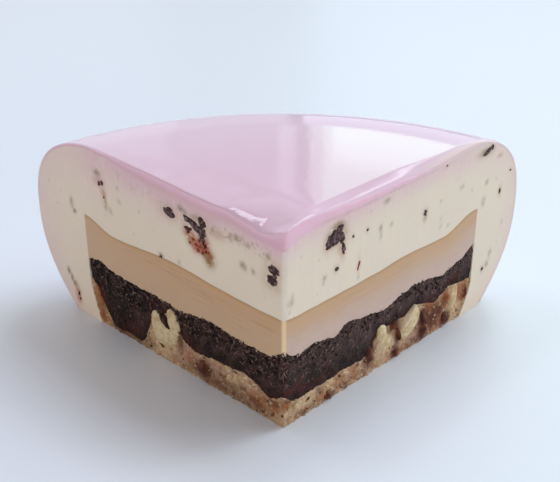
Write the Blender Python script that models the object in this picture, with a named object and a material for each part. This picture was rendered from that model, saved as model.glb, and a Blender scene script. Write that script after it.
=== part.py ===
"""A quarter of a round mousse cake that stands on its own underside.

A frozen insert of nut biscuit, chocolate crumb and caramel sits in pale mousse, and a thin mirror
glaze covers the top and the round side.  The slice's point faces -Y, its round side faces +Y, and
the origin is under the middle of its box, on the surface that the cake stands on.

Every layer is modelled in the same way: a flat grid, one unit wide and one unit high, is spun a
quarter turn, and each of its points is then laid between the layer's lower and upper outlines.
"""

import math

import bmesh
import bpy
from mathutils import Matrix, Vector, noise

MM = 0.001

# The whole cake that the slice was cut from
CAKE_RADIUS = 90 * MM
CAKE_HEIGHT = 49.4 * MM
WIDEST_HEIGHT = 25.7 * MM       # the side bulges most here
FLAT_RADIUS = 59.1 * MM         # the flat top starts to roll over here
FOOT_RADIUS = 76.5 * MM
SHOULDER_POWER = 2.52           # 2 is an ellipse, more is squarer
FOOT_POWER = 2.2
SLICE_ANGLE = math.radians(90)

# The insert inside the mousse: its radius at the left and the right cut
INSERT_RADIUS = (69.3 * MM, 71.3 * MM)
UNDERCUT_DEPTH = (3.4 * MM, 4.0 * MM)     # how far the insert narrows at the floor
UNDERCUT_HEIGHT = (12 * MM, 9 * MM)
UNDERCUT_POWER = 1.4
BISCUIT_EDGE = (12 * MM, 10.8 * MM)       # height of the biscuit where it meets the mousse
CRUMB_EDGE = (18.4 * MM, 20.6 * MM)
CARAMEL_EDGE = (30.4 * MM, 30.2 * MM)

# The skin of glaze
GLAZE_SIDE = 0.8 * MM
GLAZE_TOP = (3.9 * MM, 2.8 * MM)          # how much deeper the glaze lies on top, left and right
GLAZE_THINS = ((33 * MM, 60 * MM), (50 * MM, 80 * MM))
GLAZE_FOOT = 0.5 * MM                     # the glaze ends this high above the floor
POINT_POOL = (3.5 * MM, 1.4 * MM)         # width and depth of the glaze that ran to the point
POINT_SLUMP = (7 * MM, 2.1 * MM)          # width and depth of the sunk top at the point
LIP_DROP = 1.3 * MM                       # the glaze rounds down this far at a cut
LIP_WIDTH = 1.5 * MM
LIP_BULGE = 0.35 * MM                     # and stands this far out over it

# The insert's and the mousse's point, with the origin under the middle of the whole box
POINT_Y = (LIP_BULGE * math.sqrt(2) - CAKE_RADIUS) / 2

GAP = 0.3 * MM                            # between touching layers

# Cells of the grids
TURN_CELLS = 20
RADIUS_CELLS = 22
WALL_CELLS = 10
FLAT_SHARE = 0.44                         # shares of the outer outline: flat top, then shoulder
SHOULDER_SHARE = 0.78
OUTER_END = 0.35                          # cells shrink towards the insert's edge by this much
CUT_END = 0.5                             # and towards the cuts

# Hollows and crumbs of a cut through biscuit and chocolate
CRUMB_SIZE = 2.6 * MM
CRUMB_RELIEF = 0.9 * MM
BISCUIT_RELIEF = 0.7 * MM
CRUMB_RISE = 0.4 * MM                     # crumbs that stand up into the caramel
CUT_REACH = 2.2 * MM                      # a cut's hollows and bulges fade out over this depth

# Nuts that show at the cuts: place from the point, height, half width, half height
NUTS_LEFT = ((42.6, 5.6, 3.2, 3.3), (38.0, 8.2, 2.4, 3.6))
NUTS_RIGHT = ((36.6, 5.2, 3.7, 3.7), (45.6, 6.0, 3.6, 2.9))
NUT_DEPTH = 2.6 * MM
NUT_STANDS = 0.55 * MM                    # a nut stands this far out of the cut

# Pieces of chocolate in the mousse: place from the point, height, half width, half height
CHIPS_LEFT = ((35.8, 41.4, 1.9, 1.5), (28.8, 40.3, 2.0, 1.8), (25.6, 40.2, 1.5, 1.5),
              (26.9, 36.6, 1.4, 2.2), (3.9, 38.1, 1.1, 1.2), (4.3, 35.6, 1.4, 1.3))
CHIPS_RIGHT = ((15.3, 40.9, 2.6, 2.6), (18.7, 37.6, 0.9, 1.9), (73.7, 45.0, 1.5, 0.8))
CHIP_DEPTH = 1.2 * MM
CHIP_STANDS = 0.3 * MM
LUMP_UNEVEN = 0.12                        # share by which nuts and pieces leave an even round


def clear_scene():
    for thing in list(bpy.data.objects):
        bpy.data.objects.remove(thing, do_unlink=True)


def smooth(share):
    """An even rise from 0 to 1."""
    share = min(max(share, 0.0), 1.0)
    return share * share * (3 - 2 * share)


def humps(radius, *rows):
    """Rounded humps or dips on a line, each by its place, width and height in millimetres."""
    return sum(high * math.exp(-((radius / MM - place) / wide) ** 2) for place, wide, high in rows) * MM


def across(pair, turn):
    """A value between the one at the left cut (turn 0) and the one at the right cut (turn 1)."""
    return pair[0] + (pair[1] - pair[0]) * smooth(turn)


# ---- the outlines between the layers, as heights over the radius ------------------------------

def biscuit_height(radius, turn):
    """The biscuit is thin under the left end, curls up there, and is thick under the right end."""
    left = 1.2 * MM + 5.5 * MM * (1 - smooth((radius - 43 * MM) / (7 * MM)))
    left += humps(radius, (0, 2.5, 1.0), (5, 2.5, -0.9), (13.5, 5, 1.9), (22.6, 4, 1.0),
                  (38.5, 4.5, 6.8), (44.5, 2.5, 3.4))
    left += (BISCUIT_EDGE[0] - 1.2 * MM) * smooth((radius - 60 * MM) / (INSERT_RADIUS[0] - 60 * MM))
    right = 5.4 * MM + 4.9 * MM * smooth((radius - 29 * MM) / (5 * MM))
    right += humps(radius, (0, 2.2, 2.2), (32.8, 1.6, 1.0), (48.4, 2.5, 0.9), (55.7, 2.4, -1.4),
                   (62, 4, 0.9))
    return across((left, right), turn)


def crumb_height(radius, turn):
    left = 17.0 * MM + humps(radius, (0, 3, 2.2), (23, 6, 0.8), (34, 4, -0.7), (65, 5, 1.6))
    right = 17.2 * MM + humps(radius, (0, 2.5, 2.0), (9.7, 3, 0.8), (16.3, 2.5, -0.8),
                              (21.4, 3, 1.2), (34.2, 4, -1.3), (46, 5, 0.8), (57.6, 3, -1.1),
                              (72, 5, 3.3))
    return across((left, right), turn)


def caramel_height(radius, turn):
    """The caramel set flat and crept up the mould's wall."""
    rim = smooth((radius - 57 * MM) / (12.5 * MM))
    left = 27.3 * MM + humps(radius, (36, 14, 1.3)) + 2.9 * MM * rim
    right = 27.1 * MM + humps(radius, (0, 2.5, 0.3), (42, 8, 0.6)) + 3.0 * MM * rim
    return across((left, right), turn)


def insert_wall(height, turn):
    """The insert's radius at a height: straight above, narrowed towards the floor."""
    narrow = max(across(UNDERCUT_HEIGHT, turn) - height, 0.0) / across(UNDERCUT_HEIGHT, turn)
    return across(INSERT_RADIUS, turn) - across(UNDERCUT_DEPTH, turn) * narrow ** UNDERCUT_POWER


def floor_line(share, turn):
    return Vector((share * insert_wall(0.0, turn), 0.0))


def biscuit_line(share, turn):
    radius = share * insert_wall(across(BISCUIT_EDGE, turn), turn)
    return Vector((radius, biscuit_height(radius, turn)))


def crumb_line(share, turn):
    """The crumb's top is uneven, with single crumbs standing up."""
    radius = share * insert_wall(across(CRUMB_EDGE, turn), turn)
    angle = turn * SLICE_ANGLE
    grain = noise.noise(Vector((math.cos(angle), math.sin(angle), 0)) * radius / CRUMB_SIZE)
    return Vector((radius, crumb_height(radius, turn) + CRUMB_RISE * grain))


def caramel_line(share, turn):
    radius = share * insert_wall(across(CARAMEL_EDGE, turn), turn)
    return Vector((radius, caramel_height(radius, turn)))


def outer_line(share, foot):
    """The whole cake's outline from the middle of its top to a height just over the floor."""
    if share < FLAT_SHARE:
        return Vector((FLAT_RADIUS * share / FLAT_SHARE, CAKE_HEIGHT))
    if share < SHOULDER_SHARE:
        bend = math.pi / 2 * (share - FLAT_SHARE) / (SHOULDER_SHARE - FLAT_SHARE)
        power = 2 / SHOULDER_POWER
        return Vector((FLAT_RADIUS + (CAKE_RADIUS - FLAT_RADIUS) * math.sin(bend) ** power,
                       WIDEST_HEIGHT + (CAKE_HEIGHT - WIDEST_HEIGHT) * max(math.cos(bend), 0) ** power))
    below = (share - SHOULDER_SHARE) / (1 - SHOULDER_SHARE) * (1 - foot / WIDEST_HEIGHT)
    return Vector((CAKE_RADIUS - (CAKE_RADIUS - FOOT_RADIUS) * below ** FOOT_POWER,
                   WIDEST_HEIGHT * (1 - below)))


def upward(line, share, other):
    """The direction that a line faces, a quarter turn from its own."""
    step = 0.002
    along = line(min(share + step, 1.0), other) - line(max(share - step, 0.0), other)
    return Vector((-along.y, along.x)).normalized()


def spread(share):
    """Points closer together towards the insert's edge."""
    return share * (1 + OUTER_END * (1 - share))


def cut_distance(radius, turn):
    """How far a point lies from the nearer cut."""
    return radius * math.sin(min(turn, 1 - turn) * SLICE_ANGLE)


def glaze_depth(radius, turn):
    """The glaze is deepest over the point and thins over the shoulder."""
    sides = []
    for deep, (start, end) in zip(GLAZE_TOP, GLAZE_THINS):
        sides.append(GLAZE_SIDE + deep * (1 - smooth((radius - start) / (end - start))))
    pool = POINT_POOL[1] * math.exp(-(radius / POINT_POOL[0]) ** 2)
    return across(sides, turn) + pool


# ---- the layers' sections: a point of the unit grid laid in radius and height -----------------

def layer_section(lower, upper):
    """A layer of the insert between two lines, with half of each gap left free."""
    def section(share, level, turn):
        share = spread(share)
        below = lower(share, turn)
        if lower is not floor_line:
            below = below + upward(lower, share, turn) * GAP / 2
        above = upper(share, turn) - upward(upper, share, turn) * GAP / 2
        point = below.lerp(above, level)
        edge = lower(1, turn).lerp(upper(1, turn), level)
        point.x += share * (insert_wall(edge.y, turn) - edge.x)
        return point
    return section


def mousse_section(share, level, turn):
    """The mousse runs from the caramel's top and the insert's wall out to the glaze."""
    cells = RADIUS_CELLS + WALL_CELLS
    top_share = RADIUS_CELLS / cells
    if share <= top_share:
        part = spread(share / top_share)
        inner = caramel_line(part, turn) + upward(caramel_line, part, turn) * GAP / 2
        inner.x += GAP if share == top_share else 0
    else:
        height = caramel_line(1, turn).y * (1 - share) / (1 - top_share)
        inner = Vector((insert_wall(height, turn) + GAP, height))
    outer = outer_line(share, 0.0)
    outer -= upward(outer_line, share, 0.0) * (glaze_depth(outer.x, turn) + GAP)
    if share == 0:
        outer.x = 0
    if share == 1:
        outer.y = 0
    return inner.lerp(outer, level)


def glaze_section(share, level, turn):
    """The glaze follows the outline, and rounds and sinks at the cuts and at the point."""
    outer = outer_line(share, GLAZE_FOOT)
    depth = glaze_depth(outer.x, turn)
    inner = outer - upward(outer_line, share, GLAZE_FOOT) * depth
    lip = min(LIP_DROP, depth * 0.55) * math.exp(-cut_distance(outer.x, turn) / LIP_WIDTH)
    slump = POINT_SLUMP[1] * math.exp(-(outer.x / POINT_SLUMP[0]) ** 2)
    on_top = 1 - smooth((share - FLAT_SHARE) / (SHOULDER_SHARE - FLAT_SHARE))
    outer.y -= (lip + slump) * on_top
    if share == 0:
        inner.x = 0
    if share == 1:
        inner.y = outer.y = GLAZE_FOOT
    return inner.lerp(outer, level)


# ---- solids -------------------------------------------------------------------------------------

def spun_grid(share_cells, level_cells):
    """A quarter turn of a unit square that stands on the X axis, closed at both cuts."""
    bm = bmesh.new()
    bmesh.ops.create_grid(bm, x_segments=share_cells, y_segments=level_cells, size=0.5)
    bmesh.ops.translate(bm, verts=bm.verts, vec=(0.5, 0.5, 0))
    bmesh.ops.rotate(bm, verts=bm.verts, cent=(0, 0, 0), matrix=Matrix.Rotation(math.pi / 2, 3, 'X'))
    bmesh.ops.spin(bm, geom=bm.verts[:] + bm.edges[:] + bm.faces[:], cent=(0, 0, 0), axis=(0, 0, 1),
                   dvec=(0, 0, 0), angle=SLICE_ANGLE, steps=TURN_CELLS, use_merge=False,
                   use_normal_flip=True, use_duplicate=False)
    bmesh.ops.remove_doubles(bm, verts=bm.verts, dist=1e-5)
    return bm


def lay_out(bm, section, share_cells, level_cells, relief):
    """Moves each point of the spun grid to its place in the slice."""
    for vert in bm.verts:
        share = round(math.hypot(vert.co.x, vert.co.y) * share_cells) / share_cells
        level = round(vert.co.z * level_cells) / level_cells
        even = 1 - math.atan2(vert.co.y, vert.co.x) / SLICE_ANGLE if share > 0 else 0.5
        even = round(even * TURN_CELLS) / TURN_CELLS
        turn = even - CUT_END * math.sin(2 * math.pi * even) / (2 * math.pi)
        place = section(share, level, turn)
        angle = (turn - 0.5) * SLICE_ANGLE
        spot = Vector((place.x * math.sin(angle), place.x * math.cos(angle), place.y))
        for cut, side in ((0.0, -1), (1.0, 1)):
            depth = place.x * math.sin(abs(turn - cut) * SLICE_ANGLE)
            fade = math.exp(-(depth / CUT_REACH) ** 2)
            spot += cut_normal(cut) * relief(side * place.x, place.y) * fade
        vert.co = spot + Vector((0, POINT_Y, 0))


def cut_normal(turn):
    """The way that a cut face looks."""
    side = 1 if turn > 0.5 else -1
    half = SLICE_ANGLE / 2
    return Vector((side * math.cos(half), -math.sin(half), 0))


def flat_cut(_radius, _height):
    return 0.0


def bulged_cut(_radius, _height):
    return LIP_BULGE


def crumbly_cut(depth, seed):
    """Hollows between crumbs, never proud of the cut."""
    def relief(radius, height):
        grain = noise.noise(Vector((radius / CRUMB_SIZE, height / CRUMB_SIZE, seed)))
        return -depth * (0.5 + 0.5 * grain)
    return relief


def finish(name, bm, colour, roughness):
    """Touching layers split their four-sided faces alike, along the shorter diagonal."""
    bmesh.ops.triangulate(bm, faces=bm.faces, quad_method='SHORT_EDGE', ngon_method='BEAUTY')
    bmesh.ops.recalc_face_normals(bm, faces=bm.faces)
    mesh = bpy.data.meshes.new(name)
    bm.to_mesh(mesh)
    bm.free()
    mesh.shade_smooth()
    mesh.set_sharp_from_angle(angle=math.radians(40))
    material = bpy.data.materials.new(name)
    material.use_nodes = True
    shader = material.node_tree.nodes["Principled BSDF"]
    shader.inputs["Base Color"].default_value = (*colour, 1)
    shader.inputs["Roughness"].default_value = roughness
    shader.inputs["Metallic"].default_value = 0
    mesh.materials.append(material)
    thing = bpy.data.objects.new(name, mesh)
    bpy.context.scene.collection.objects.link(thing)
    return thing


def make_layer(name, section, share_cells, level_cells, relief, colour, roughness):
    bm = spun_grid(share_cells, level_cells)
    lay_out(bm, section, share_cells, level_cells, relief)
    return finish(name, bm, colour, roughness)


def lump(name, turn, row, depth, stands):
    """A rounded, uneven piece set in a cut, a little proud of it."""
    place, height, half_width, half_height = (value * MM for value in row)
    bm = bmesh.new()
    bmesh.ops.create_icosphere(bm, subdivisions=2, radius=1)
    for vert in bm.verts:
        vert.co *= 1 + LUMP_UNEVEN * noise.noise(vert.co * 1.7 + Vector(row[:3]))
    normal = cut_normal(turn)
    angle = (turn - 0.5) * SLICE_ANGLE
    along = Vector((math.sin(angle), math.cos(angle), 0))
    axes = Matrix((along * half_width, normal * depth, Vector((0, 0, half_height)))).transposed()
    middle = along * place + normal * (stands - depth) + Vector((0, POINT_Y, height))
    for vert in bm.verts:
        vert.co = axes @ vert.co + middle
    return finish(name, bm, (0.5, 0.4, 0.3), 0.6)


def fuse(thing, left, right, depth, stands):
    """One union of the layer with the pieces that lie in its two cuts."""
    pieces = bpy.data.collections.new(thing.name + "_pieces")
    bpy.context.scene.collection.children.link(pieces)
    for turn, rows in ((0.0, left), (1.0, right)):
        for number, row in enumerate(rows):
            piece = lump(f"{thing.name}_piece_{turn:.0f}_{number}", turn, row, depth, stands)
            bpy.context.scene.collection.objects.unlink(piece)
            pieces.objects.link(piece)
    union = thing.modifiers.new("pieces", 'BOOLEAN')
    union.operation = 'UNION'
    union.operand_type = 'COLLECTION'
    union.collection = pieces
    union.solver = 'EXACT'
    graph = bpy.context.evaluated_depsgraph_get()
    joined = bpy.data.meshes.new_from_object(thing.evaluated_get(graph))
    thing.modifiers.remove(union)
    joined.materials.clear()
    joined.materials.append(thing.data.materials[0])
    thing.data = joined
    for piece in list(pieces.objects):
        bpy.data.objects.remove(piece, do_unlink=True)
    bpy.data.collections.remove(pieces)


def main():
    clear_scene()
    wedge_cells = RADIUS_CELLS + WALL_CELLS
    biscuit = make_layer("nut_base", layer_section(floor_line, biscuit_line), RADIUS_CELLS, 4,
                         crumbly_cut(BISCUIT_RELIEF, 3.1), (0.47, 0.31, 0.18), 0.8)
    fuse(biscuit, NUTS_LEFT, NUTS_RIGHT, NUT_DEPTH, NUT_STANDS)
    make_layer("chocolate_layer", layer_section(biscuit_line, crumb_line), RADIUS_CELLS, 5,
               crumbly_cut(CRUMB_RELIEF, 7.4), (0.03, 0.016, 0.015), 0.55)
    make_layer("caramel_layer", layer_section(crumb_line, caramel_line), RADIUS_CELLS, 1,
               flat_cut, (0.5, 0.33, 0.18), 0.45)
    mousse = make_layer("mousse", mousse_section, wedge_cells, 1, flat_cut, (0.66, 0.6, 0.5), 0.6)
    fuse(mousse, CHIPS_LEFT, CHIPS_RIGHT, CHIP_DEPTH, CHIP_STANDS)
    make_layer("mirror_glaze", glaze_section, wedge_cells, 1, bulged_cut, (0.72, 0.47, 0.6), 0.08)


main()
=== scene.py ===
"""A slice of mousse cake: its glaze, mousse, caramel, chocolate crumb and nut biscuit.

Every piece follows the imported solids' form.  A layer is a flat grid spun a quarter turn and laid
between its lower and its upper outline.  Nuts, chips and crumbs are uneven rounds set in the cuts.
"""

import functools
import random
from math import atan2, copysign, cos, exp, hypot, pi, radians, sin, sqrt, tan

import bmesh
import bpy
from mathutils import Matrix, Vector, noise


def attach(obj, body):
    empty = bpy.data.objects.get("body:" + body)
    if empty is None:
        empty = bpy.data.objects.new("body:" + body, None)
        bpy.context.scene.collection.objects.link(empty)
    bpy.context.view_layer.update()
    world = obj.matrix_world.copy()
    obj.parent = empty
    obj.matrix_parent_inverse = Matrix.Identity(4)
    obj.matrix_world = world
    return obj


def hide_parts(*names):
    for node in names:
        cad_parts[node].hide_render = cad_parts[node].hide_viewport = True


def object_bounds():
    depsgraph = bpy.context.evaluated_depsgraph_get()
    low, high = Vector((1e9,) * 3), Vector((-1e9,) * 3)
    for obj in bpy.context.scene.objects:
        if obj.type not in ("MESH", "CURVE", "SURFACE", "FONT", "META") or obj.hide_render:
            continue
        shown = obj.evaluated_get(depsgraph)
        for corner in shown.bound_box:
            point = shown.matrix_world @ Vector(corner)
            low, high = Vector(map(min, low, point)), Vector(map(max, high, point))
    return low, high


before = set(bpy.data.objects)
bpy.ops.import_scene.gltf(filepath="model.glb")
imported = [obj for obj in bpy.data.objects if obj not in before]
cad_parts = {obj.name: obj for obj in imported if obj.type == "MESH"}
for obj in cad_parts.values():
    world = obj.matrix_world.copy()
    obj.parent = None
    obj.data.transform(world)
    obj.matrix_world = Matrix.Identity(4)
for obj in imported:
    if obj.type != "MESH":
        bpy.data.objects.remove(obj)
CAD_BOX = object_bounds()

bl_info = {
    "name": "Mousse Cake Slice",
    "version": (1, 0, 0),
    "blender": (4, 5, 0),
    "location": "View3D > Sidebar > Cake",
    "description": "Makes a slice of glazed mousse cake, layer by layer, with its stage",
    "category": "Add Mesh",
}

MM = 0.001

# The whole cake and the slice, as in the solids.  A pair is for the left and the right cut.
CAKE_RADIUS = 90 * MM
CAKE_HEIGHT = CAD_BOX[1].z
WIDEST_HEIGHT = 25.7 * MM
FLAT_RADIUS = 59.1 * MM
FOOT_RADIUS = 76.5 * MM
SHOULDER_POWER = 2.52
FOOT_POWER = 2.2
SLICE_ANGLE = radians(90)
POINT_Y = CAD_BOX[1].y - CAKE_RADIUS

INSERT_RADIUS = (69.3 * MM, 71.3 * MM)
UNDERCUT_DEPTH = (3.4 * MM, 4.0 * MM)
UNDERCUT_HEIGHT = (12 * MM, 9 * MM)
UNDERCUT_POWER = 1.4
BISCUIT_EDGE = (12 * MM, 10.8 * MM)
CRUMB_EDGE = (18.4 * MM, 20.6 * MM)
CARAMEL_EDGE = (30.4 * MM, 30.2 * MM)

GLAZE_FOOT = 0.5 * MM
GLAZE_LAP = 0.05 * MM             # how far the mousse reaches into the glaze
LIP_WIDTH = (12 * MM, 2.5 * MM)   # how far in from each cut the top sinks
LIP_POWER = (1.4, 1.05)
LIP_NARROWS = (36 * MM, 18 * MM, 0.6)   # from which radius, over how far and by how much
LIP_DEEPEST = 0.7                 # of the glaze's thickness
BEAD_START = 2 * MM
SAG = (7 * MM, 6 * MM, 1.3 * MM)  # a dip in the left lip: its place from the point, reach and depth
LIP_BULGE = 0.2 * MM
FLAT_SHARE = 0.44                 # share of the outline that is the flat top
SHOULDER_SHARE = 0.78             # share of the outline down to the widest place
TOP_SHARE = 0.6875                # share of the mousse's inner outline that runs over the caramel
OUTER_END = 0.35                  # how much closer the cells are at the insert's wall
CUT_REACH = 2.2 * MM              # how deep a cut's relief goes
SHARP_ANGLE = radians(62)

MOUSSE_ABOVE, MOUSSE_BESIDE = 17, 12   # millimetres of mousse over and outside the insert
GRAIN_SINK, NUT_SINK, NUT_DEPTH = 0.15, 0.1, 1.3       # millimetres
BIT_STANDS, BIT_DEPTH = 0.16, 0.6                      # millimetres

LEFT, RIGHT = -1, 1


# ---- colours ----

def paint(code):
    """An sRGB hex colour as linear light."""
    values = [int(code[i:i + 2], 16) / 255 for i in (1, 3, 5)]
    return tuple(v / 12.92 if v <= 0.04045 else ((v + 0.055) / 1.055) ** 2.4 for v in values) + (1,)


def colour(name, description, code):
    return bpy.props.FloatVectorProperty(name=name, description=description, subtype='COLOR',
                                         size=4, min=0, max=1, default=paint(code))


def length(name, description, value):
    return bpy.props.FloatProperty(name=name, description=description, default=value, min=0,
                                   unit='LENGTH', precision=5)


class CakeLooks(bpy.types.PropertyGroup):
    """Colours and sizes that a user would change."""
    glaze: colour("Glaze", "Poured mirror glaze", "#DEBCC8")
    mousse: colour("Mousse", "Set white mousse", "#EFE1CB")
    caramel: colour("Caramel", "Set caramel cream", "#D2B08C")
    caramel_skin: colour("Caramel skin", "Darker line on the caramel's top", "#B78D52")
    chocolate: colour("Chocolate", "Moist dark crumb", "#432C26")
    chocolate_dry: colour("Dry chocolate", "Greyer crumbs that catch light", "#80665C")
    biscuit: colour("Biscuit", "Baked nut biscuit", "#C3A484")
    bran: colour("Bran", "Brown flecks in the biscuit", "#7A5233")
    nut: colour("Nut", "Cut nut kernels", "#E2D0A8")
    nut_skin: colour("Nut skin", "Roasted nut skin", "#6E3A1E")
    toffee: colour("Toffee", "Orange-brown bits", "#98401F")
    berry: colour("Berry", "Dark red bits", "#5E1A12")
    floor: colour("Floor", "Pale table", "#DEE0E4")
    crumb_size: length("Crumb size", "Width of a chocolate crumb", 1.1 * MM)
    grain_size: length("Grain size", "Width of a biscuit grain", 1.5 * MM)


# ---- outlines, as in the solids ----

def smooth(share):
    """An even rise from 0 to 1."""
    share = min(max(share, 0.0), 1.0)
    return share * share * (3 - 2 * share)


def humps(radius, *rows):
    """Rounded humps or dips on a line, each by its place, width and height in millimetres."""
    return sum(high * exp(-((radius / MM - place) / wide) ** 2)
               for place, wide, high in rows) * MM


def across(pair, turn):
    """A value between the one at the left cut (turn 0) and the one at the right cut (turn 1)."""
    return pair[0] + (pair[1] - pair[0]) * smooth(turn)


def biscuit_height(radius, turn):
    left = 1.2 * MM + 5.5 * MM * (1 - smooth((radius - 43 * MM) / (7 * MM)))
    left += humps(radius, (0, 2.5, 1.0), (5, 2.5, -0.9), (13.5, 5, 1.9), (22.6, 4, 1.0),
                  (38.5, 4.5, 6.8), (44.5, 2.5, 3.4))
    left += (BISCUIT_EDGE[0] - 1.2 * MM) * smooth((radius - 60 * MM) / (INSERT_RADIUS[0] - 60 * MM))
    right = 5.4 * MM + 4.9 * MM * smooth((radius - 29 * MM) / (5 * MM))
    right += humps(radius, (0, 2.2, 2.2), (32.8, 1.6, 1.0), (48.4, 2.5, 0.9), (55.7, 2.4, -1.4),
                   (62, 4, 0.9))
    return across((left, right), turn)


def crumb_height(radius, turn):
    left = 17.0 * MM + humps(radius, (0, 3, 2.2), (23, 6, 0.8), (34, 4, -0.7), (65, 5, 1.6))
    right = 17.2 * MM + humps(radius, (0, 2.5, 2.0), (9.7, 3, 0.8), (16.3, 2.5, -0.8),
                              (21.4, 3, 1.2), (34.2, 4, -1.3), (46, 5, 0.8), (57.6, 3, -1.1),
                              (72, 5, 3.3))
    return across((left, right), turn)


def caramel_height(radius, turn):
    rim = smooth((radius - 57 * MM) / (12.5 * MM))
    left = 27.3 * MM + humps(radius, (36, 14, 1.3)) + 2.9 * MM * rim
    right = 27.1 * MM + humps(radius, (0, 2.5, 0.3), (42, 8, 0.6)) + 3.0 * MM * rim
    return across((left, right), turn)


def insert_wall(height, turn):
    narrow = max(across(UNDERCUT_HEIGHT, turn) - height, 0.0) / across(UNDERCUT_HEIGHT, turn)
    return across(INSERT_RADIUS, turn) - across(UNDERCUT_DEPTH, turn) * narrow ** UNDERCUT_POWER


def on_plan(radius, turn):
    """A point's place seen from above, for noise that runs on round the slice."""
    angle = turn * SLICE_ANGLE
    return Vector((cos(angle), sin(angle), 0)) * radius


@functools.cache
def floor_line(share, turn):
    return Vector((share * insert_wall(0.0, turn), 0.0))


def upper_line(edge, height_of, *waves):
    """A layer's upper line, roughened by waves: the width and the depth of each in millimetres."""
    @functools.cache
    def line(share, turn):
        radius = share * insert_wall(across(edge, turn), turn)
        rough = sum(noise.noise(on_plan(radius, turn) / (wide * MM)) * deep * MM
                    for wide, deep in waves)
        return Vector((radius, height_of(radius, turn) + rough))
    return line


biscuit_line = upper_line(BISCUIT_EDGE, biscuit_height, (1.6, 0.35), (0.6, 0.2))
crumb_line = upper_line(CRUMB_EDGE, crumb_height, (2.6, 0.4), (0.8, 0.4))
caramel_line = upper_line(CARAMEL_EDGE, caramel_height, (5, 0.12))


@functools.cache
def outer_line(share, foot):
    """The whole cake's outline from the middle of its top to a height just over the floor."""
    if share < FLAT_SHARE:
        return Vector((FLAT_RADIUS * share / FLAT_SHARE, CAKE_HEIGHT))
    if share < SHOULDER_SHARE:
        bend = pi / 2 * (share - FLAT_SHARE) / (SHOULDER_SHARE - FLAT_SHARE)
        across_share, up_share = (max(turned, 0) ** (2 / SHOULDER_POWER)
                                  for turned in (sin(bend), cos(bend)))
        return Vector((FLAT_RADIUS + (CAKE_RADIUS - FLAT_RADIUS) * across_share,
                       WIDEST_HEIGHT + (CAKE_HEIGHT - WIDEST_HEIGHT) * up_share))
    below = (share - SHOULDER_SHARE) / (1 - SHOULDER_SHARE) * (1 - foot / WIDEST_HEIGHT)
    return Vector((CAKE_RADIUS - (CAKE_RADIUS - FOOT_RADIUS) * below ** FOOT_POWER,
                   WIDEST_HEIGHT * (1 - below)))


@functools.cache
def outward(share, foot):
    """The way that the cake's outline faces."""
    step = 0.002
    ahead = outer_line(min(share + step, 1.0), foot) - outer_line(max(share - step, 0.0), foot)
    return Vector((-ahead.y, ahead.x)).normalized()


def spread(share):
    return share * (1 + OUTER_END * (1 - share))


def along(rows, radius):
    """A value in metres that eases between the rows (place, value) of a table in millimetres."""
    place = radius / MM
    for (start, first), (end, last) in zip(rows, rows[1:]):
        if place < end:
            return (first + (last - first) * smooth((place - start) / (end - start))) * MM
    return rows[-1][1] * MM


# How thick the glaze is at the left and the right cut, and how far its lip lies under the top
GLAZE_DEPTH = (((0, 6.1), (2, 6.2), (5.7, 5.7), (9.8, 5.4), (16, 4.7), (22.6, 5.4), (31.7, 4.8),
                (41.9, 4), (49.1, 3), (59.5, 1.3), (68, 0.8)),
               ((0, 6.1), (4.3, 4.6), (6.4, 4), (12.8, 3.8), (24.2, 4), (33.9, 3.7), (45, 3.4),
                (54.8, 3.3), (65.2, 2.7), (76, 0.8)))
LIP_DEPTH = (((0, 1.7), (1.4, 1.6), (4.4, 1.8), (6.3, 1.2), (9.7, 0.9), (15, 1), (20.2, 1.75),
              (28.2, 1.6), (36, 1.1), (45, 0.7), (56.3, 0.3), (64.9, 0.1)),
             ((0, 1.3), (1.2, 0.7), (3.4, 0.1), (7.5, 0.35), (14.9, 1), (23.5, 1.5), (33.8, 1.6),
              (44.9, 1.7), (54, 1.15), (62, 0.5), (70, 0.2)))

# The bead that rounds off each lip: its depth, and how far in it reaches
BEAD = ((((0, 0.2), (3.5, 0.3), (7, 1.2), (14, 1.1), (19, 0.2)),
         ((0, 0.12), (3.5, 0.3), (7, 1.5), (14, 1.4), (19, 0.12))),
        (((0, 0.35),), ((0, 0.22),)))


@functools.cache
def glaze_depth(radius, turn):
    return across([along(rows, radius) for rows in GLAZE_DEPTH], turn)


@functools.cache
def lip_depth(radius, side):
    return along(LIP_DEPTH[side], radius)


# ---- the layers' sections ----

def layer_section(lower, upper):
    """A layer of the insert, from one line up to the next."""
    def section(share, level, turn):
        share = spread(share)
        point = lower(share, turn).lerp(upper(share, turn), level)
        edge = lower(1, turn).lerp(upper(1, turn), level)
        point.x += share * (insert_wall(edge.y, turn) - edge.x)
        return point
    return section


def mousse_section(share, level, turn):
    """The mousse runs from the caramel's top and the insert's wall out to the glaze."""
    if share <= TOP_SHARE:
        inner = caramel_line(spread(share / TOP_SHARE), turn)
    else:
        height = caramel_line(1, turn).y * (1 - share) / (1 - TOP_SHARE)
        inner = Vector((insert_wall(height, turn), height))
    outer = outer_line(share, 0.0)
    outer = outer - outward(share, 0.0) * (glaze_depth(outer.x, turn) - GLAZE_LAP)
    if share == 0:
        outer.x = 0
    if share == 1:
        outer.y = 0
    return inner.lerp(outer, level)


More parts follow.
